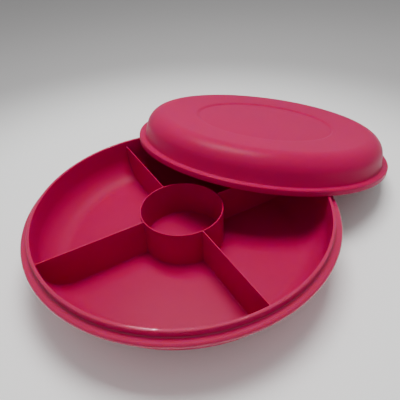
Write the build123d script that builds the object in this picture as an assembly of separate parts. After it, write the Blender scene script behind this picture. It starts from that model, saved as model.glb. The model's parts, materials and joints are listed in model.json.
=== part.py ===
from build123d import *
import math
import os

# Chip and dip server: a round tray with four compartments round a dip cup, and its domed lid,
# which leans on the tray's lip with its far edge on the table.
# Frame: the origin is on the table under the tray's centre, +Z is up, and the front
# compartment lies towards -Y. Lengths are in millimetres and angles in degrees.

# Tray: bowl and rim
TRAY_RADIUS = 155.0  # widest edge of the rim
TRAY_HEIGHT = 60.5  # table to the top of the lip
BOWL_DEPTH = 45.4  # top of the lip to the floor
TRAY_WALL = 2.0  # thickness of the floor, the bowl's side and the rim's edge
BOWL_FILLET = 27.0  # inside, between the floor and the side
SIDE_DRAFT = 3.7  # lean of the bowl's side from the vertical
LIP_RADIUS = 147.8  # outside of the lip
LIP_THICKNESS = 2.8
LIP_ROUND = 0.6
LIP_CROWN = 0.2  # fall of the lip's gently rounded top from its middle to its edges
LIP_CROWN_ROUND = 6.0
SHOULDER_DROP = 6.8  # top of the lip to the shoulder
RIM_EDGE_DEPTH = 3.8  # shoulder to the bottom of the rim's edge
RIM_EDGE_ROUND = 2.3

# Tray: foot ring, dip cup and dividers
FOOT_RADIUS = 104.0
FOOT_THICKNESS = 2.6
FOOT_TAPER = 0.5  # extra thickness of each side where the foot joins the floor
INNER_DROP = 6.6  # top of the lip to the tops of the cup and the dividers
CUP_RADIUS = 42.0
CUP_WALL_TOP = 1.3
CUP_WALL_FOOT = 1.7
DIVIDER_TOP = 1.2  # thickness along the top edge
DIVIDER_FOOT = 1.8  # thickness along the floor
DIVIDERS = {
    "divider_back_right": 45.0,
    "divider_back_left": 135.0,
    "divider_front_left": 225.0,
    "divider_front_right": 315.0,
}

# Lid, measured from the plane of the flange's top
LID_WALL = 1.5
LID_PLAY = 0.25  # gap all round when the lid is on the tray
SKIRT_DEPTH = 6.8
FLANGE_ROUND = 1.6
VALLEY_DEPTH = 1.2  # dip between the flange and the foot of the dome
DOME_HEIGHT = 29.6  # corner where the dome's side and top would meet
DOME_LEAN = 5.5  # how far the dome's side leans in from foot to corner
DOME_ROUND = 21.0
RECESS_RADIUS = 86.5
RECESS_DEPTH = 1.8
RECESS_RISER = 3.0  # run of the recess's sloping side
DISH_DEPTH = 3.2  # how far the top falls from the dome's corner to the recess

# Lid at rest: its far edge is down on the table and the near edge is up over the tray
LEAN_AZIMUTH = 71.3
LEAN_TILT = 13.8
LEAN_DISTANCE = 178.4  # tray's centre to the lid's centre, in plan
REST_GAP = 0.3  # clearance over the table

# Small roundings
RIM_CORNER_ROUND = 0.9  # where the lip's outer face meets the shoulder
RIM_BOTTOM_ROUND = 0.7
RIM_INSIDE_ROUND = 0.5
RIM_ROOT_ROUND = 1.2  # under the rim, where it leaves the bowl's side
FOOT_ROUND = 0.6
CUP_TOP_ROUND = 0.5
DIVIDER_TOP_ROUND = 0.45
RECESS_ROUND = 5.0
RECESS_INSIDE_ROUND = 4.0
VALLEY_ROUND = 1.0
VALLEY_INSIDE_ROUND = 0.5
SKIRT_OUTER_ROUND = 0.5
SKIRT_INNER_ROUND = 0.4
SKIRT_ROOT_ROUND = 0.5

# Where the two mouldings are divided into simple rings, so that collision stays open in them
CROWN_START = 96.0  # radius on the lid
FLANGE_TOP = 3.0  # height on the lid
FAR = 400.0  # past every edge of a section

SHOULDER_Z = TRAY_HEIGHT - SHOULDER_DROP
FLOOR_Z = TRAY_HEIGHT - BOWL_DEPTH
UNDERSIDE_Z = FLOOR_Z - TRAY_WALL
INNER_TOP_Z = TRAY_HEIGHT - INNER_DROP
LIP_INSIDE = LIP_RADIUS - LIP_THICKNESS
DRAFT_SLOPE = math.tan(math.radians(SIDE_DRAFT))


def section(corners):
    """A closed half section. Each corner is (radius, height, rounding)."""
    points = [(radius, height) for radius, height, rounding in corners]
    return make_face(FilletPolyline(*points, radius=[corner[2] for corner in corners], close=True))


def turned(half_section):
    """Revolve a half section about Z."""
    return revolve(Plane.XZ * half_section, Axis.Z)


def region(*points):
    """A polygon of (radius, height) points that a section is divided by."""
    return Polygon(*points, align=None)


def side_radius(height):
    """Radius of the bowl's inner side, carried down in a straight line from the lip."""
    return LIP_INSIDE - (TRAY_HEIGHT - height) * DRAFT_SLOPE


def tray_rings():
    """The bowl and its rim, divided into a floor, two halves of the bend, and the side with the rim."""
    edge_bottom = SHOULDER_Z - RIM_EDGE_DEPTH
    rim_underside = SHOULDER_Z - TRAY_WALL
    edge_inside = TRAY_RADIUS - TRAY_WALL
    bowl = section(
        [
            (0, FLOOR_Z, 0),
            (side_radius(FLOOR_Z), FLOOR_Z, BOWL_FILLET),
            (LIP_INSIDE, TRAY_HEIGHT - LIP_CROWN, LIP_ROUND),
            (LIP_RADIUS - LIP_THICKNESS / 2, TRAY_HEIGHT, LIP_CROWN_ROUND),
            (LIP_RADIUS, TRAY_HEIGHT - LIP_CROWN, LIP_ROUND),
            (LIP_RADIUS, SHOULDER_Z, RIM_CORNER_ROUND),
            (TRAY_RADIUS, SHOULDER_Z, RIM_EDGE_ROUND),
            (TRAY_RADIUS, edge_bottom, RIM_BOTTOM_ROUND),
            (edge_inside, edge_bottom, RIM_BOTTOM_ROUND),
            (edge_inside, rim_underside, RIM_INSIDE_ROUND),
            (side_radius(rim_underside) + TRAY_WALL, rim_underside, RIM_ROOT_ROUND),
            (side_radius(UNDERSIDE_Z) + TRAY_WALL, UNDERSIDE_Z, BOWL_FILLET + TRAY_WALL),
            (0, UNDERSIDE_Z, 0),
        ]
    )
    bend_reach = BOWL_FILLET * math.tan(math.radians(45 - SIDE_DRAFT / 2))
    bend = (side_radius(FLOOR_Z) - bend_reach, FLOOR_Z + BOWL_FILLET)  # centre of the bend
    below = (bend[0], bend[1] - FAR)
    aslant = (bend[0] + FAR, bend[1] - FAR)
    beside = (bend[0] + FAR, bend[1])
    return {
        "tray_floor": turned(bowl & region((0, 0), (bend[0], 0), bend, (0, bend[1]))),
        "bowl_bend_lower": turned(bowl & region(bend, below, aslant)),
        "bowl_bend_upper": turned(bowl & region(bend, aslant, beside)),
        "bowl_side_and_rim": turned(bowl & region(bend, beside, (beside[0], FAR), (bend[0], FAR))),
    }


def foot_ring():
    inside = FOOT_RADIUS - FOOT_THICKNESS / 2
    outside = FOOT_RADIUS + FOOT_THICKNESS / 2
    foot = [
        (inside, 0, FOOT_ROUND),
        (outside, 0, FOOT_ROUND),
        (outside + FOOT_TAPER, UNDERSIDE_Z, 0),
        (inside - FOOT_TAPER, UNDERSIDE_Z, 0),
    ]
    return turned(section(foot))


def dip_cup_wall():
    wall = [
        (CUP_RADIUS - CUP_WALL_FOOT, FLOOR_Z, 0),
        (CUP_RADIUS, FLOOR_Z, 0),
        (CUP_RADIUS, INNER_TOP_Z, CUP_TOP_ROUND),
        (CUP_RADIUS - CUP_WALL_TOP, INNER_TOP_Z, CUP_TOP_ROUND),
    ]
    return turned(section(wall))


def compartment_space():
    """The ring-shaped room between the dip cup and the bowl, up to the dividers' tops."""
    room = [
        (0, FLOOR_Z, 0),
        (side_radius(FLOOR_Z), FLOOR_Z, BOWL_FILLET),
        (side_radius(INNER_TOP_Z), INNER_TOP_Z, 0),
        (0, INNER_TOP_Z, 0),
    ]
    return turned(section(room)) - Cylinder(CUP_RADIUS, 3 * TRAY_HEIGHT)


def divider(room, azimuth):
    corners = [
        (-DIVIDER_FOOT / 2, FLOOR_Z, 0),
        (DIVIDER_FOOT / 2, FLOOR_Z, 0),
        (DIVIDER_TOP / 2, INNER_TOP_Z, DIVIDER_TOP_ROUND),
        (-DIVIDER_TOP / 2, INNER_TOP_Z, DIVIDER_TOP_ROUND),
    ]
    wall = extrude(Plane.YZ * section(corners), amount=TRAY_RADIUS)
    return Rot(Z=azimuth) * (wall & room)


def lid_section():
    """The lid's half section, with the flange's top at height 0."""
    foot = LIP_RADIUS + LID_PLAY + LID_WALL
    edge = TRAY_RADIUS + LID_PLAY + LID_WALL
    top_edge = foot - DOME_LEAN
    plateau = DOME_HEIGHT - DISH_DEPTH
    recess = plateau - RECESS_DEPTH
    outer = [
        (0, recess, 0),
        (RECESS_RADIUS - RECESS_RISER, recess, RECESS_ROUND),
        (RECESS_RADIUS, plateau, RECESS_ROUND),
        (top_edge, DOME_HEIGHT, DOME_ROUND),
        (foot, -VALLEY_DEPTH, VALLEY_ROUND),
        (edge, 0, FLANGE_ROUND),
        (edge, -SKIRT_DEPTH, SKIRT_OUTER_ROUND),
    ]
    inner = [
        (edge - LID_WALL, -SKIRT_DEPTH, SKIRT_INNER_ROUND),
        (edge - LID_WALL, -LID_WALL, SKIRT_ROOT_ROUND),
        (foot - LID_WALL, -VALLEY_DEPTH - LID_WALL, VALLEY_INSIDE_ROUND),
        (top_edge - LID_WALL, DOME_HEIGHT - LID_WALL, DOME_ROUND - LID_WALL),
        (RECESS_RADIUS, plateau - LID_WALL, RECESS_INSIDE_ROUND),
        (RECESS_RADIUS - RECESS_RISER, recess - LID_WALL, RECESS_INSIDE_ROUND),
        (0, recess - LID_WALL, 0),
    ]
    return section(outer + inner)


def lid_rings():
    """The lid at rest, divided into its top panel, crown, shoulder and flange."""
    lid = lid_section()
    shoulder = LIP_RADIUS - DOME_ROUND  # near the centre of the dome's rounding
    height = DOME_HEIGHT - DOME_ROUND
    slant = (shoulder + FAR, height + FAR)
    panel_end = (CROWN_START, FAR)
    rings = {
        "lid_panel": region((0, FLANGE_TOP), (CROWN_START, FLANGE_TOP), panel_end, (0, FAR)),
        "lid_crown": region(
            (CROWN_START, FLANGE_TOP), (shoulder, FLANGE_TOP), (shoulder, height), slant, panel_end
        ),
        "lid_shoulder": region(
            (shoulder, FLANGE_TOP), (slant[0], FLANGE_TOP), slant, (shoulder, height)
        ),
        "lid_flange": region((0, -FAR), (slant[0], -FAR), (slant[0], FLANGE_TOP), (0, FLANGE_TOP)),
    }
    place = lid_place()
    return {name: place * turned(lid & limits) for name, limits in rings.items()}


def lid_place():
    """Where the lid rests: it leans on the tray's lip, with its far edge on the table."""
    tilt = math.radians(LEAN_TILT)
    edge = TRAY_RADIUS + LID_PLAY + LID_WALL
    height = REST_GAP + edge * math.sin(tilt) + SKIRT_DEPTH * math.cos(tilt)
    azimuth = math.radians(LEAN_AZIMUTH)
    centre = Pos(LEAN_DISTANCE * math.cos(azimuth), LEAN_DISTANCE * math.sin(azimuth), height)
    return centre * Rot(Z=LEAN_AZIMUTH) * Rot(Y=LEAN_TILT)


def main():
    os.makedirs("parts", exist_ok=True)
    room = compartment_space()
    nodes = {"foot_ring": foot_ring(), "dip_cup_wall": dip_cup_wall()}
    nodes.update(tray_rings())
    nodes.update(lid_rings())
    for name, azimuth in DIVIDERS.items():
        nodes[name] = divider(room, azimuth)
    for name, shape in nodes.items():
        export_step(shape, f"parts/{name}.step")


main()
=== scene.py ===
import json
import math

import bmesh
import bpy
import numpy as np
from mathutils import Matrix, Vector


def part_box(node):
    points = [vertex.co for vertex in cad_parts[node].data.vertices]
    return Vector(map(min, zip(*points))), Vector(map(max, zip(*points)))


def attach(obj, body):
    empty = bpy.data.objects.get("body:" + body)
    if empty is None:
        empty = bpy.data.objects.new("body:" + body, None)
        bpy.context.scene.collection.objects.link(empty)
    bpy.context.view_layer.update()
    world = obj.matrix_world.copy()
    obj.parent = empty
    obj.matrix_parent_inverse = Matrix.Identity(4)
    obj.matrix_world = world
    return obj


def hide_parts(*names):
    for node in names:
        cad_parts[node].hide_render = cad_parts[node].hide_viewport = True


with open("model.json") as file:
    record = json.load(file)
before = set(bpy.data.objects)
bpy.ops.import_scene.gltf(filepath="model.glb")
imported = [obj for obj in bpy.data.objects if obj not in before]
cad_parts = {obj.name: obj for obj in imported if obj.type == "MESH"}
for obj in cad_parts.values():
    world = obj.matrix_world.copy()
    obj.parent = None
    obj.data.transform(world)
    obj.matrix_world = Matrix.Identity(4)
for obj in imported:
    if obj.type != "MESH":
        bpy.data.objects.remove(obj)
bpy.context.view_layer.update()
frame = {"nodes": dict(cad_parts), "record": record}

bl_info = {
    "name": "Chip and Dip Server",
    "version": (1, 0, 0),
    "blender": (4, 5, 0),
    "location": "3D View > Sidebar > Server",
    "description": "Builds a moulded round tray with dividers and a dip cup, and its domed lid",
    "category": "Object",
}

MM = 0.001
ROUND_STEPS = 320  # segments round every turned piece
BURIED = 0.4 * MM  # how far a joined piece runs into its neighbour
CREASE = math.radians(35)  # a sharper edge than this is shaded as an edge
ARC_STEP = 1.4 * MM  # longest side of a rounding's polygon
STRAIGHT_STEP = 6 * MM  # longest straight run in an outline

# Small roundings of the tray
RIM_CORNER_ROUND = 0.9 * MM  # where the lip's outer face meets the shoulder
RIM_BOTTOM_ROUND = 0.7 * MM
RIM_INSIDE_ROUND = 0.5 * MM
RIM_ROOT_ROUND = 1.2 * MM  # under the rim, where it leaves the bowl's side
FOOT_ROOT_ROUND = 0.8 * MM
FOOT_ROUND = 0.6 * MM

# Small roundings of the lid
RECESS_RISER = 3.0 * MM  # run of the recess's sloping side
RECESS_ROUND = 5.0 * MM
RECESS_INSIDE_ROUND = 4.0 * MM
VALLEY_ROUND = 1.0 * MM
VALLEY_INSIDE_ROUND = 0.5 * MM
SKIRT_OUTER_ROUND = 0.5 * MM
SKIRT_INNER_ROUND = 0.4 * MM
SKIRT_ROOT_ROUND = 0.5 * MM


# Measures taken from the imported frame


def joined_box(*names):
    """Lowest and highest corners of one or more CAD nodes at rest."""
    boxes = [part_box(name) for name in names]
    low = Vector([min(box[0][axis] for box in boxes) for axis in range(3)])
    high = Vector([max(box[1][axis] for box in boxes) for axis in range(3)])
    return low, high


def lid_axes():
    """The lid's centre, its centre line and how far along that its skirt's bottom lies."""
    corners = []
    middles = []
    areas = []
    for name in LID_NODES:
        mesh = frame["nodes"][name].data
        mesh.calc_loop_triangles()
        corners += [vertex.co for vertex in mesh.vertices]
        middles += [triangle.center for triangle in mesh.loop_triangles]
        areas += [triangle.area for triangle in mesh.loop_triangles]
    corners = np.array(corners)
    middles = np.array(middles)
    areas = np.array(areas)
    centre = (middles * areas[:, None]).sum(axis=0) / areas.sum()
    spread = middles - centre
    moments = (spread * areas[:, None]).T @ spread
    axis = np.linalg.eigh(moments)[1][:, 0]
    axis *= math.copysign(1, axis[2])
    return Vector(centre), Vector(axis), float(((corners - centre) @ axis).min())


BODIES = frame["record"]["behaviour"]["bodies"]
LID_NODES = BODIES["lid"]
DIVIDER_NODES = [name for name in BODIES["tray"] if name.startswith("divider_")]
BOWL_NODES = [name for name in BODIES["tray"] if name.startswith(("tray_", "bowl_"))]
LID_CENTRE, LID_AXIS, LID_BOTTOM = lid_axes()
TRAY_LOW, TRAY_HIGH = joined_box(*BOWL_NODES)
FOOT_LOW, FOOT_HIGH = joined_box("foot_ring")
CUP_LOW, CUP_HIGH = joined_box("dip_cup_wall")


# Sizes and colours that a user may change


def length(name, description, millimetres):
    return bpy.props.FloatProperty(
        name=name,
        description=description,
        default=millimetres * MM,
        unit="LENGTH",
        precision=5,
    )


class ServerTraySizes(bpy.types.PropertyGroup):
    lip_radius: length("Lip radius", "Outside of the upright lip", 147.8)
    lip_thickness: length("Lip thickness", "Thickness of the upright lip", 2.8)
    lip_round: length("Lip rounding", "Rounding of the lip's top edges", 0.6)
    lip_crown: length("Lip crown", "Fall of the lip's top from its middle to its edges", 0.2)
    crown_round: length("Crown rounding", "Rounding of the middle of the lip's top", 6.0)
    shoulder_drop: length("Shoulder drop", "From the top of the lip to the shoulder", 6.8)
    edge_depth: length("Edge depth", "From the shoulder to the bottom of the rim's edge", 3.8)
    edge_round: length("Edge rounding", "Rounding of the rim's widest edge", 2.3)
    wall: length("Wall", "Thickness of the floor and the bowl's side", 2.0)
    bowl_fillet: length("Bowl fillet", "Rounding between the floor and the side", 27.0)
    foot_thickness: length("Foot thickness", "Thickness of the foot ring at the table", 2.6)
    foot_taper: length("Foot taper", "Extra thickness of each side of the foot at its root", 0.5)
    side_draft: bpy.props.FloatProperty(
        name="Side draft",
        description="Lean of the bowl's side from the vertical",
        default=math.radians(3.7),
        subtype="ANGLE",
    )


class ServerInnerSizes(bpy.types.PropertyGroup):
    cup_wall_top: length("Cup wall, top", "Thickness of the dip cup's wall at its rim", 1.3)
    cup_wall_foot: length("Cup wall, foot", "Thickness of the dip cup's wall at the floor", 1.7)
    divider_top: length("Divider, top", "Thickness of a divider along its top edge", 1.2)
    divider_foot: length("Divider, foot", "Thickness of a divider along the floor", 1.8)
    top_round: length("Top rounding", "Rounding of the top edges", 0.45)
    foot_fillet: length("Foot fillet", "Fillet where walls and floor meet", 1.1)


class ServerLidSizes(bpy.types.PropertyGroup):
    wall: length("Wall", "Thickness of the lid", 1.5)
    play: length("Play", "Gap all round when the lid is on the tray", 0.25)
    skirt_depth: length("Skirt depth", "From the flange's top to the skirt's bottom", 6.8)
    flange_round: length("Flange rounding", "Rounding of the flange's outer edge", 1.6)
    valley_depth: length("Valley depth", "Dip between the flange and the dome", 1.2)
    dome_height: length("Dome height", "From the flange to the corner of the dome", 29.6)
    dome_lean: length("Dome lean", "How far the dome's side leans in", 5.5)
    dome_round: length("Dome rounding", "Rounding of the dome's shoulder", 21.0)
    recess_radius: length("Recess radius", "Radius of the round recess in the top", 86.5)
    recess_depth: length("Recess depth", "Depth of the round recess", 1.8)
    dish_depth: length("Dish depth", "Fall of the top from the shoulder to the recess", 3.2)


class ServerLooks(bpy.types.PropertyGroup):
    tray_colour: bpy.props.FloatVectorProperty(
        name="Tray colour",
        description="Colour of the tray's plastic",
        default=(0.40, 0.001, 0.069),
        subtype="COLOR",
        size=3,
        min=0,
        max=1,
    )
    lid_colour: bpy.props.FloatVectorProperty(
        name="Lid colour",
        description="Colour of the lid's plastic",
        default=(0.38, 0.001, 0.067),
        subtype="COLOR",
        size=3,
        min=0,
        max=1,
    )


# Outlines and meshes


def arc(centre, start, end):
    """Points of the short arc from start to end round centre, both ends included."""
    first = math.atan2(start.y - centre.y, start.x - centre.x)
    last = math.atan2(end.y - centre.y, end.x - centre.x)
    sweep = (last - first + math.pi) % (2 * math.pi) - math.pi
    radius = (start - centre).length
    steps = max(5, math.ceil(abs(sweep) * radius / ARC_STEP))
    angles = [first + sweep * step / steps for step in range(steps + 1)]
    return [centre + radius * Vector((math.cos(angle), math.sin(angle))) for angle in angles]


def rounded(corners):
    """A closed outline from (radius, height, rounding) corners, with arcs at the rounded ones."""
    outline = []
    for index, (x, y, rounding) in enumerate(corners):
        here = Vector((x, y))
        if rounding <= 0:
            outline.append(here)
            continue
        to_last = (Vector(corners[index - 1][:2]) - here).normalized()
        to_next = (Vector(corners[(index + 1) % len(corners)][:2]) - here).normalized()
        half = to_last.angle(to_next) / 2
        centre = here + (to_last + to_next).normalized() * rounding / math.sin(half)
        reach = rounding / math.tan(half)
        outline += arc(centre, here + to_last * reach, here + to_next * reach)
    return outline


def divided(outline, longest=STRAIGHT_STEP):
    """The same closed outline with its long straight runs cut into shorter ones."""
    points = []
    for index, here in enumerate(outline):
        after = outline[(index + 1) % len(outline)]
        on_axis = here.x == 0 and after.x == 0
        pieces = 1 if on_axis else max(1, math.ceil((after - here).length / longest))
        points += [here.lerp(after, piece / pieces) for piece in range(pieces)]
    return points


def new_piece(name, mesh, body, slot, finish, *stands_for):
    """Put a finished mesh in the scene, smooth-shaded, riding on its body in place of CAD nodes."""
    mesh.shade_smooth()
    mesh.set_sharp_from_angle(angle=CREASE)
    mesh.materials.append(finish)
    piece = bpy.data.objects.new(name, mesh)
    bpy.context.scene.collection.objects.link(piece)
    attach(piece, body)
    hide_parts(*stands_for)
    return piece


def mesh_from(name, build, place=None):
    """A mesh that build fills in, with its faces turned outwards, moved to its place."""
    mesh = bpy.data.meshes.new(name)
    shape = bmesh.new()
    build(shape)
    bmesh.ops.recalc_face_normals(shape, faces=shape.faces)
    if place is not None:
        shape.transform(place)
    shape.to_mesh(mesh)
    shape.free()
    return mesh


def turn(shape, outline):
    """Add the solid that a closed outline of (radius, height) points makes when turned about Z."""
    turns = [2 * math.pi * step / ROUND_STEPS for step in range(ROUND_STEPS)]
    rings = []
    for point in outline:
        if point.x == 0:
            rings.append([shape.verts.new((0, 0, point.y))])
            continue
        ring = [(point.x * math.cos(t), point.x * math.sin(t), point.y) for t in turns]
        rings.append([shape.verts.new(corner) for corner in ring])
    for ring, following in zip(rings, rings[1:] + rings[:1]):
        join_rings(shape, ring, following)


def join_rings(shape, ring, following):
    """Faces between two rings of corners. A ring of one corner is a pole."""
    count = max(len(ring), len(following))
    if count == 1:
        return
    for step in range(count):
        after = (step + 1) % count
        loop = [
            ring[step % len(ring)],
            ring[after % len(ring)],
            following[after % len(following)],
            following[step % len(following)],
        ]
        shape.faces.new(list(dict.fromkeys(loop)))


# Finishes: node groups for the effects that both plastics share


def new_group(name, inputs, outputs):
    """A shader node group with float inputs (name, default) and float outputs (name)."""
    group = bpy.data.node_groups.new(name, "ShaderNodeTree")
    for label, default in inputs:
        socket = group.interface.new_socket(label, in_out="INPUT", socket_type="NodeSocketFloat")
        socket.default_value = default
    for label in outputs:
        group.interface.new_socket(label, in_out="OUTPUT", socket_type="NodeSocketFloat")
    start = group.nodes.new("NodeGroupInput")
    end = group.nodes.new("NodeGroupOutput")
    return group, start, end


def math_node(tree, operation, *values):
    """A Math node whose inputs are the given numbers or sockets. Returns its output socket."""
    node = tree.nodes.new("ShaderNodeMath")
    node.operation = operation
    for socket, value in zip(node.inputs, values):
        if isinstance(value, bpy.types.NodeSocket):
            tree.links.new(value, socket)
        else:
            socket.default_value = value
    return node.outputs[0]


def noise_node(tree, position, scale, detail, roughness=0.5):
    """A Noise Texture at the given position socket. Returns its value socket."""
    node = tree.nodes.new("ShaderNodeTexNoise")
    node.inputs["Detail"].default_value = detail
    node.inputs["Roughness"].default_value = roughness
    tree.links.new(position, node.inputs["Vector"])
    if isinstance(scale, bpy.types.NodeSocket):
        tree.links.new(scale, node.inputs["Scale"])
    else:
        node.inputs["Scale"].default_value = scale
    return node.outputs["Fac"]


def object_position(tree):
    node = tree.nodes.new("ShaderNodeTexCoord")
    return node.outputs["Object"]


def ramp_node(tree, value, low, high):
    """Map value from low..high to 0..1, clamped. Returns the result socket."""
    node = tree.nodes.new("ShaderNodeMapRange")
    node.interpolation_type = "SMOOTHSTEP"
    tree.links.new(value, node.inputs["Value"])
    node.inputs["From Min"].default_value = low
    node.inputs["From Max"].default_value = high
    return node.outputs["Result"]


def mould_grain_group():
    """The fine spark-eroded grain of a moulded face, as a height from 0 to 1."""
    group, start, end = new_group(
        "Mould Grain", [("Scale", 2500.0), ("Unevenness", 0.3)], ["Height", "Shade"]
    )
    place = object_position(group)
    fine = noise_node(group, place, start.outputs["Scale"], 3.0, 0.6)
    broad = noise_node(group, place, 14.0, 2.0)
    mixed = math_node(group, "MULTIPLY_ADD", broad, start.outputs["Unevenness"], fine)
    group.links.new(mixed, end.inputs["Height"])
    group.links.new(broad, end.inputs["Shade"])
    return group


def scratch_group():
    """Short hairline scratches from use and washing, 1 on a scratch and 0 elsewhere."""
    group, start, end = new_group("Hairline Scratches", [("Amount", 0.5)], ["Mask"])
    place = object_position(group)
    masks = []
    for turn_degrees, seed in ((17, 0.0), (74, 3.0), (131, 7.0)):
        spin = group.nodes.new("ShaderNodeMapping")
        spin.inputs["Rotation"].default_value[2] = math.radians(turn_degrees)
        spin.inputs["Location"].default_value[0] = seed
        spin.inputs["Scale"].default_value = (60.0, 2400.0, 60.0)
        group.links.new(place, spin.inputs["Vector"])
        streak = noise_node(group, spin.outputs["Vector"], 1.0, 1.0)
        masks.append(ramp_node(group, streak, 0.70, 0.78))
    first_two = math_node(group, "MAXIMUM", masks[0], masks[1])
    strongest = math_node(group, "MAXIMUM", first_two, masks[2])
    patches = ramp_node(group, noise_node(group, place, 22.0, 2.0), 0.45, 0.7)
    worn = math_node(group, "MULTIPLY", strongest, patches)
    group.links.new(math_node(group, "MULTIPLY", worn, start.outputs["Amount"]), end.inputs["Mask"])
    return group


def edge_rub_and_highlight_group():
    """Edge rub and painted highlight: how strongly a raised edge is paled, partly as polish from
    handling and partly as a painted highlight along the edge.
    """
    group, start, end = new_group("Edge Rub And Painted Highlight", [("Amount", 1.0)], ["Mask"])
    geometry = group.nodes.new("ShaderNodeNewGeometry")
    edge = ramp_node(group, geometry.outputs["Pointiness"], 0.52, 0.60)
    patches = ramp_node(group, noise_node(group, object_position(group), 60.0, 3.0), 0.3, 0.65)
    worn = math_node(group, "MULTIPLY", edge, patches)
    group.links.new(math_node(group, "MULTIPLY", worn, start.outputs["Amount"]), end.inputs["Mask"])
    return group


def shared_group(name, build):
    return bpy.data.node_groups.get(name) or build()


def place_group(tree, group, **values):
    node = tree.nodes.new("ShaderNodeGroup")
    node.node_tree = group
    for label, value in values.items():
        node.inputs[label].default_value = value
    return node


def mix_colour(tree, amount, first, second):
    node = tree.nodes.new("ShaderNodeMix")
    node.data_type = "RGBA"
    tree.links.new(amount, node.inputs["Factor"])
    for label, value in (("A", first), ("B", second)):
        socket = next(s for s in node.inputs if s.name == label and s.type == "RGBA")
        if isinstance(value, bpy.types.NodeSocket):
            tree.links.new(value, socket)
        else:
            socket.default_value = (*value, 1)
    return next(s for s in node.outputs if s.type == "RGBA")


def scaled(colour, factor):
    return tuple(min(1.0, channel * factor) for channel in colour)


def polished_rim_group():
    """1 on the polished outside of the tray's rim and lip, 0 on the finely grained inside."""
    group, start, end = new_group("Polished Rim", [("Radius", 0.1448), ("Height", 0.045)], ["Mask"])
    split = group.nodes.new("ShaderNodeSeparateXYZ")
    group.links.new(object_position(group), split.inputs["Vector"])
    x, y, z = split.outputs
    squared = math_node(group, "MULTIPLY_ADD", x, x, math_node(group, "MULTIPLY", y, y))
    outside = math_node(group, "SQRT", squared)
    wide = math_node(group, "GREATER_THAN", outside, start.outputs["Radius"])
    high = math_node(group, "GREATER_THAN", z, start.outputs["Height"])
    group.links.new(math_node(group, "MULTIPLY", wide, high), end.inputs["Mask"])
    return group


def plastic(name, colour, roughness, grain_scale, grain_height):
    """A moulded plastic with grain, faint colour drift, hairline scratches, and raised edges paled
    partly by handling rub and partly as a painted highlight.
    """
    material = bpy.data.materials.new(name)
    material.use_nodes = True
    tree = material.node_tree
    shader = tree.nodes["Principled BSDF"]
    grain = place_group(tree, shared_group("Mould Grain", mould_grain_group), Scale=grain_scale)
    scratches = place_group(tree, shared_group("Hairline Scratches", scratch_group), Amount=0.35)
    rub_and_highlight = place_group(tree, shared_group("Edge Rub And Painted Highlight", edge_rub_and_highlight_group), Amount=0.3)
    dark, light, scratched = (scaled(colour, factor) for factor in (0.93, 1.07, 1.25))
    # raised edges paled: partly handling rub, partly a painted highlight along the edges
    rubbed_and_highlit_colour = tuple(0.8 * channel + 0.06 for channel in colour)
    drifted = mix_colour(tree, grain.outputs["Shade"], dark, light)
    scuffed = mix_colour(tree, scratches.outputs["Mask"], drifted, scratched)
    rubbed_and_highlit = mix_colour(tree, rub_and_highlight.outputs["Mask"], scuffed, rubbed_and_highlit_colour)
    tree.links.new(rubbed_and_highlit, shader.inputs["Base Color"])
    spread = 0.10
    smoothest = roughness - spread / 2
    uneven = math_node(tree, "MULTIPLY_ADD", grain.outputs["Shade"], spread, smoothest)
    scored = math_node(tree, "MULTIPLY_ADD", scratches.outputs["Mask"], 0.25, uneven)
    tree.links.new(scored, shader.inputs["Roughness"])
    bump = tree.nodes.new("ShaderNodeBump")
    bump.inputs["Distance"].default_value = grain_height
    bump.inputs["Strength"].default_value = 0.5
    cut = math_node(tree, "MULTIPLY_ADD", scratches.outputs["Mask"], -0.8, grain.outputs["Height"])
    tree.links.new(cut, bump.inputs["Height"])
    tree.links.new(bump.outputs["Normal"], shader.inputs["Normal"])
    shader.inputs["IOR"].default_value = 1.49
    shader.inputs["Specular IOR Level"].default_value = 0.11
    shader.inputs["Subsurface Weight"].default_value = 0.9
    shader.inputs["Subsurface Radius"].default_value = (1.0, 0.08, 0.18)
    shader.inputs["Subsurface Scale"].default_value = 2.5 * MM
    return material


def tray_plastic():
    """The tray's plastic: finely grained, and polished on the rim."""
    made = bpy.data.materials.get("tray plastic")
    if made:
        return made
    colour = tuple(bpy.context.scene.server_looks.tray_colour)
    material = plastic("tray plastic", colour, 0.42, 2600.0, 0.012 * MM)
    tree = material.node_tree
    shader = tree.nodes["Principled BSDF"]
    rim = place_group(tree, polished_rim_group())
    coat = math_node(tree, "MULTIPLY", rim.outputs["Mask"], 0.9)
    tree.links.new(coat, shader.inputs["Coat Weight"])
    shader.inputs["Coat Roughness"].default_value = 0.03
    return material


def lid_plastic():
    """The lid's plastic: a slightly coarser grain, with no polish."""
    colour = tuple(bpy.context.scene.server_looks.lid_colour)
    return plastic("lid plastic", colour, 0.42, 1900.0, 0.02 * MM)


# Tray


def lip_height(sizes):
    """Height of the corner that the crown of the lip's top is rounded from."""
    slope = math.atan2(sizes.lip_crown, sizes.lip_thickness / 2)
    return TRAY_HIGH.z + sizes.crown_round * (1 / math.cos(slope) - 1)


def side_radius(sizes, height):
    """Radius of the bowl's inner side, carried down in a straight line from the lip."""
    lip_inside = sizes.lip_radius - sizes.lip_thickness
    return lip_inside - (lip_height(sizes) - height) * math.tan(sizes.side_draft)


def floor_height():
    return CUP_LOW.z


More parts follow.
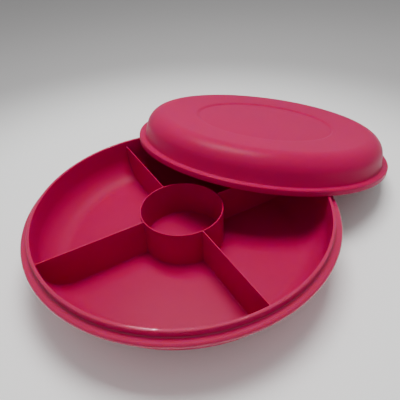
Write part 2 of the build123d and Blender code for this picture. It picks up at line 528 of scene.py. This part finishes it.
def bowl_outline(sizes):
    """Half section of the bowl, the rim and the foot ring, from the axis out and back under."""
    top = lip_height(sizes)
    shoulder = top - sizes.shoulder_drop
    edge = TRAY_HIGH.x
    edge_bottom = shoulder - sizes.edge_depth
    hollow = shoulder - sizes.wall
    floor = floor_height()
    under = TRAY_LOW.z
    foot_outer = FOOT_HIGH.x - sizes.foot_taper
    foot_inner = foot_outer - sizes.foot_thickness
    bend_outside = sizes.bowl_fillet + sizes.wall
    return divided(
        rounded(
            [
                (0, floor, 0),
                (side_radius(sizes, floor), floor, sizes.bowl_fillet),
                (sizes.lip_radius - sizes.lip_thickness, top - sizes.lip_crown, sizes.lip_round),
                (sizes.lip_radius - sizes.lip_thickness / 2, top, sizes.crown_round),
                (sizes.lip_radius, top - sizes.lip_crown, sizes.lip_round),
                (sizes.lip_radius, shoulder, RIM_CORNER_ROUND),
                (edge, shoulder, sizes.edge_round),
                (edge, edge_bottom, RIM_BOTTOM_ROUND),
                (edge - sizes.wall, edge_bottom, RIM_BOTTOM_ROUND),
                (edge - sizes.wall, hollow, RIM_INSIDE_ROUND),
                (side_radius(sizes, hollow) + sizes.wall, hollow, RIM_ROOT_ROUND),
                (side_radius(sizes, under) + sizes.wall, under, bend_outside),
                (FOOT_HIGH.x, under, FOOT_ROOT_ROUND),
                (foot_outer, FOOT_LOW.z, FOOT_ROUND),
                (foot_inner, FOOT_LOW.z, FOOT_ROUND),
                (foot_inner - sizes.foot_taper, under, FOOT_ROOT_ROUND),
                (0, under, 0),
            ]
        )
    )


class SERVER_OT_tray(bpy.types.Operator):
    """Build the bowl with its stepped rim and foot ring"""

    bl_idname = "server.tray"
    bl_label = "Tray Bowl"

    def execute(self, context):
        outline = bowl_outline(context.scene.server_tray)
        mesh = mesh_from("tray_bowl_moulding", lambda shape: turn(shape, outline))
        finish = tray_plastic()
        new_piece(
            "tray_bowl_moulding", mesh, "tray", "tray_plastic", finish, *BOWL_NODES, "foot_ring"
        )
        return {"FINISHED"}


# Dip cup


def cup_outline(sizes):
    """Half section of the dip cup's wall, with a fillet at each side of its foot."""
    floor = floor_height()
    outside = CUP_HIGH.x
    inside_foot = outside - sizes.cup_wall_foot
    inside_top = outside - sizes.cup_wall_top
    fillet = sizes.foot_fillet
    foot_round = fillet * 0.999  # a hair under the fillet, so that its arc ends inside the floor
    return divided(
        rounded(
            [
                (inside_foot - fillet, floor, 0),
                (inside_foot, floor, foot_round),
                (inside_top, CUP_HIGH.z, sizes.top_round),
                (outside, CUP_HIGH.z, sizes.top_round),
                (outside, floor, foot_round),
                (outside + fillet, floor, 0),
                (outside + fillet, floor - BURIED, 0),
                (inside_foot - fillet, floor - BURIED, 0),
            ]
        ),
        longest=4 * MM,
    )


class SERVER_OT_dip_cup(bpy.types.Operator):
    """Build the round wall of the dip cup"""

    bl_idname = "server.dip_cup"
    bl_label = "Dip Cup"

    def execute(self, context):
        outline = cup_outline(context.scene.server_inner)
        mesh = mesh_from("dip_cup_moulding", lambda shape: turn(shape, outline))
        new_piece("dip_cup_moulding", mesh, "tray", "tray_plastic", tray_plastic(), "dip_cup_wall")
        return {"FINISHED"}


# Dividers


def divider_path(tray, inner):
    """Stations along a divider's foot, from the cup's wall over the floor and up the bowl's side.

    Each station is (point, inward normal), in the divider's own plane of radius and height.
    """
    floor = floor_height()
    top = CUP_HIGH.z
    start = CUP_HIGH.x - 0.6 * inner.cup_wall_top  # buried in the cup's wall
    corner = (side_radius(tray, floor), floor, tray.bowl_fillet)
    side_top = (side_radius(tray, top), top, 0)
    outline = rounded([(start, floor, 0), corner, side_top])
    # Closer together where the fillet against the cup's wall curves
    near = [start + distance * MM for distance in (0.5, 0.9, 1.2, 1.6, 2.1, 3.0)]
    path = [outline[0]] + [Vector((radius, floor)) for radius in near]
    for before, after in zip(outline, outline[1:]):
        pieces = max(1, math.ceil((after - before).length / (4 * MM)))
        fresh = [before.lerp(after, piece / pieces) for piece in range(1, pieces + 1)]
        path += [point for point in fresh if point.x > near[-1]]
    stations = []
    for index, point in enumerate(path):
        along = path[min(index + 1, len(path) - 1)] - path[max(index - 1, 0)]
        stations.append((point, Vector((-along.y, along.x)).normalized()))
    return stations


def half_thickness(inner, height):
    share = (height - floor_height()) / (CUP_HIGH.z - floor_height())
    return (inner.divider_foot + (inner.divider_top - inner.divider_foot) * share) / 2


def divider_side(inner, point, normal):
    """One side of the divider's section at a station, from under the floor up to the top's middle.

    Each corner is (across, along radius, height). A fillet blends the foot into the bowl, and
    another blends the side into the cup's wall.
    """
    fillet = inner.foot_fillet
    from_cup = max(0.0, min(point.x - CUP_HIGH.x, fillet))
    flare = fillet - math.sqrt(fillet**2 - (fillet - from_cup) ** 2)
    corners = []
    reach = half_thickness(inner, point.y) + flare
    sunk = point - normal * BURIED
    corners.append((reach + fillet, sunk.x, sunk.y))
    for step in range(7):
        angle = math.radians(15 * step)
        across = reach + fillet * (1 - math.sin(angle))
        lifted = point + normal * fillet * (1 - math.cos(angle))
        corners.append((across, lifted.x, lifted.y))
    radius = corners[-1][1]
    low = min(corners[-1][2], CUP_HIGH.z - inner.top_round)
    shoulder = CUP_HIGH.z - inner.top_round
    for step in range(1, 7):
        height = low + (shoulder - low) * step / 6
        corners.append((half_thickness(inner, height) + flare, radius, height))
    edge = half_thickness(inner, CUP_HIGH.z) + flare - inner.top_round
    for step in range(1, 6):
        angle = math.radians(18 * step)
        across = edge + inner.top_round * math.cos(angle)
        corners.append((across, radius, shoulder + inner.top_round * math.sin(angle)))
    corners.append((0, radius, CUP_HIGH.z))
    return corners


def divider_shape(shape, tray, inner):
    rings = []
    for point, normal in divider_path(tray, inner):
        side = divider_side(inner, point, normal)
        loop = [(-across, radius, height) for across, radius, height in side]
        loop += side[-2::-1]
        rings.append([shape.verts.new((radius, across, height)) for across, radius, height in loop])
    for ring, following in zip(rings, rings[1:]):
        join_rings(shape, ring, following)
    shape.faces.new(rings[0])
    shape.faces.new(rings[-1])
    bmesh.ops.remove_doubles(shape, verts=shape.verts, dist=0.5e-6)


class SERVER_OT_dividers(bpy.types.Operator):
    """Build the four dividers, each with fillets where it meets the floor, the bowl and the cup"""

    bl_idname = "server.dividers"
    bl_label = "Dividers"

    def execute(self, context):
        tray = context.scene.server_tray
        inner = context.scene.server_inner
        for node in DIVIDER_NODES:
            low, high = joined_box(node)
            azimuth = math.atan2(low.y + high.y, low.x + high.x)
            place = Matrix.Rotation(azimuth, 4, "Z")
            mesh = mesh_from(node + "_rib", lambda shape: divider_shape(shape, tray, inner), place)
            new_piece(node + "_rib", mesh, "tray", "tray_plastic", tray_plastic(), node)
        return {"FINISHED"}


# Lid


def lid_outline(tray, sizes):
    """Half section of the lid, with the flange's top at height 0, outside first and then inside."""
    foot = tray.lip_radius + sizes.play + sizes.wall
    edge = TRAY_HIGH.x + sizes.play + sizes.wall
    top_edge = foot - sizes.dome_lean
    plateau = sizes.dome_height - sizes.dish_depth
    recess = plateau - sizes.recess_depth
    recess_floor = sizes.recess_radius - RECESS_RISER
    dome_inside = sizes.dome_round - sizes.wall
    return divided(
        rounded(
            [
                (0, recess, 0),
                (recess_floor, recess, RECESS_ROUND),
                (sizes.recess_radius, plateau, RECESS_ROUND),
                (top_edge, sizes.dome_height, sizes.dome_round),
                (foot, -sizes.valley_depth, VALLEY_ROUND),
                (edge, 0, sizes.flange_round),
                (edge, -sizes.skirt_depth, SKIRT_OUTER_ROUND),
                (edge - sizes.wall, -sizes.skirt_depth, SKIRT_INNER_ROUND),
                (edge - sizes.wall, -sizes.wall, SKIRT_ROOT_ROUND),
                (foot - sizes.wall, -sizes.valley_depth - sizes.wall, VALLEY_INSIDE_ROUND),
                (top_edge - sizes.wall, sizes.dome_height - sizes.wall, dome_inside),
                (sizes.recess_radius, plateau - sizes.wall, RECESS_INSIDE_ROUND),
                (recess_floor, recess - sizes.wall, RECESS_INSIDE_ROUND),
                (0, recess - sizes.wall, 0),
            ]
        )
    )


def lid_place(sizes):
    """Where the lid leans: its own Z along the CAD lid's axis, its flange's top at the origin."""
    turned = Vector((0, 0, 1)).rotation_difference(LID_AXIS).to_matrix().to_4x4()
    flange = LID_CENTRE + LID_AXIS * (LID_BOTTOM + sizes.skirt_depth)
    return Matrix.Translation(flange) @ turned


class SERVER_OT_lid(bpy.types.Operator):
    """Build the domed lid, leaning on the tray"""

    bl_idname = "server.lid"
    bl_label = "Lid"

    def execute(self, context):
        sizes = context.scene.server_lid
        outline = lid_outline(context.scene.server_tray, sizes)
        place = lid_place(sizes)
        mesh = mesh_from("lid_moulding", lambda shape: turn(shape, outline), place)
        new_piece("lid_moulding", mesh, "lid", "lid_plastic", lid_plastic(), *LID_NODES)
        return {"FINISHED"}


# Stage: table, light and camera

# Painted light: the table's colour is pale round the tray and darkens further out, a painted pool
# of light with a painted falloff
TABLE_NEAR_PAINTED_POOL = ((0.95, 0.95, 0.94), (0.97, 0.97, 0.96))
TABLE_FAR_PAINTED_DIM = (0.45, 0.44, 0.44)
TABLE_PAINTED_FALLOFF = (0.30, 0.62)  # distances from the tray's centre between which the table darkens
TENT_STRENGTH = 0.46
SIDE_SHARE = 0.8  # brightness of the tent's sides, as a share of its top's
LAMPS = 11
FIRST_LAMP = Vector((-0.19, 0.17, 0.52))
LAMP_PITCH = 0.0256


# The table's colour holds a painted falloff of the light: pale near the tray, darker with distance
def table_with_painted_falloff():
    material = bpy.data.materials.new("table")
    material.use_nodes = True
    tree = material.node_tree
    shader = tree.nodes["Principled BSDF"]
    place = object_position(tree)
    distance = tree.nodes.new("ShaderNodeVectorMath")
    distance.operation = "LENGTH"
    tree.links.new(place, distance.inputs[0])
    # painted falloff of light: the colour darkens with distance from the tray's centre
    painted_falloff = ramp_node(tree, distance.outputs["Value"], *TABLE_PAINTED_FALLOFF)
    cloud = noise_node(tree, place, 3.0, 3.0)
    near = mix_colour(tree, cloud, *TABLE_NEAR_PAINTED_POOL)
    tree.links.new(mix_colour(tree, painted_falloff, near, TABLE_FAR_PAINTED_DIM), shader.inputs["Base Color"])
    shader.inputs["Roughness"].default_value = 0.6
    return material


def add_table():
    shape = bmesh.new()
    bmesh.ops.create_circle(shape, cap_ends=True, cap_tris=False, segments=96, radius=6.0)
    mesh = bpy.data.meshes.new("table")
    shape.to_mesh(mesh)
    shape.free()
    mesh.materials.append(table_with_painted_falloff())
    table = bpy.data.objects.new("table", mesh)
    bpy.context.scene.collection.objects.link(table)


def aimed(position, target, roll=0.0):
    """The matrix of a light or camera at position that looks at target."""
    facing = (Vector(target) - Vector(position)).to_track_quat("-Z", "Y")
    turned = facing.to_matrix().to_4x4() @ Matrix.Rotation(roll, 4, "Z")
    return Matrix.Translation(position) @ turned


def add_light(name, kind, position, target, power, size):
    light = bpy.data.lights.new(name, kind)
    light.energy = power
    if kind == "AREA":
        light.shape = "RECTANGLE"
        light.size, light.size_y = size
    else:
        light.shadow_soft_size = size
    lamp = bpy.data.objects.new(name, light)
    lamp.matrix_world = aimed(position, target)
    bpy.context.scene.collection.objects.link(lamp)
    return lamp


def light_tent(strength):
    """Soft light from all round, a little dimmer from the sides than from above."""
    world = bpy.data.worlds.new("light tent")
    world.use_nodes = True
    tree = world.node_tree
    split = tree.nodes.new("ShaderNodeSeparateXYZ")
    direction = tree.nodes.new("ShaderNodeTexCoord")
    tree.links.new(direction.outputs["Generated"], split.inputs["Vector"])
    above = ramp_node(tree, split.outputs["Z"], -0.05, 0.6)
    side = strength * SIDE_SHARE
    power = math_node(tree, "MULTIPLY_ADD", above, strength * (1 - SIDE_SHARE), side)
    background = tree.nodes["Background"]
    background.inputs["Color"].default_value = (1.0, 1.0, 1.0, 1)
    tree.links.new(power, background.inputs["Strength"])
    return world


def add_lights():
    """Two soft panels that light without a reflection, and a row of small lamps that has one."""
    bpy.context.scene.world = light_tent(TENT_STRENGTH)
    panels = (
        add_light("ceiling", "AREA", (0.0, 0.16, 0.95), (0.0, 0.05, 0.0), 10.2, (0.5, 0.36)),
        add_light("front", "AREA", (0.1, -0.9, 0.45), (0.0, 0.0, 0.05), 0.9, (0.9, 0.4)),
    )
    for panel in panels:
        panel.visible_glossy = False
        panel.visible_camera = False
    for step in range(LAMPS):
        place = FIRST_LAMP + Vector((LAMP_PITCH * step, 0, 0))
        below = (place.x, 0, 0)
        lamp = add_light(f"lamp_{step}", "POINT", place, below, 0.8, 3.0 * MM)
        lamp.visible_diffuse = False


def add_camera():
    camera = bpy.data.cameras.new("view")
    camera.sensor_width = 36.0
    camera.lens = 36.1
    camera.clip_start = 0.01
    seat = bpy.data.objects.new("view", camera)
    place = (0.106, -0.2967, 0.3053)
    target = (-0.0043, 0.0819, 0.0)
    seat.matrix_world = aimed(place, target, math.radians(-2.8))
    bpy.context.scene.collection.objects.link(seat)
    bpy.context.scene.camera = seat


class SERVER_OT_stage(bpy.types.Operator):
    """Set up the table, the soft light and the camera"""

    bl_idname = "server.stage"
    bl_label = "Stage"

    def execute(self, context):
        add_table()
        add_lights()
        add_camera()
        return {"FINISHED"}


class SERVER_PT_panel(bpy.types.Panel):
    """Sizes, colours and buttons for each piece of the server"""

    bl_label = "Chip and Dip Server"
    bl_idname = "SERVER_PT_panel"
    bl_space_type = "VIEW_3D"
    bl_region_type = "UI"
    bl_category = "Server"

    def draw(self, context):
        layout = self.layout
        for label, settings in SETTINGS.items():
            box = layout.box()
            group = getattr(context.scene, label)
            for name in settings.__annotations__:
                box.prop(group, name)
        for operator in OPERATORS:
            layout.operator(operator.bl_idname)


SETTINGS = {
    "server_tray": ServerTraySizes,
    "server_inner": ServerInnerSizes,
    "server_lid": ServerLidSizes,
    "server_looks": ServerLooks,
}
OPERATORS = (
    SERVER_OT_tray,
    SERVER_OT_dip_cup,
    SERVER_OT_dividers,
    SERVER_OT_lid,
    SERVER_OT_stage,
)
CLASSES = (*SETTINGS.values(), *OPERATORS, SERVER_PT_panel)


def register():
    for cls in CLASSES:
        bpy.utils.register_class(cls)
    for name, settings in SETTINGS.items():
        setattr(bpy.types.Scene, name, bpy.props.PointerProperty(type=settings))


def unregister():
    for name in SETTINGS:
        delattr(bpy.types.Scene, name)
    for cls in reversed(CLASSES):
        bpy.utils.unregister_class(cls)


def main():
    register()
    bpy.ops.server.stage()
    bpy.ops.server.tray()
    bpy.ops.server.dip_cup()
    bpy.ops.server.dividers()
    bpy.ops.server.lid()


if __name__ == "__main__":
    main()
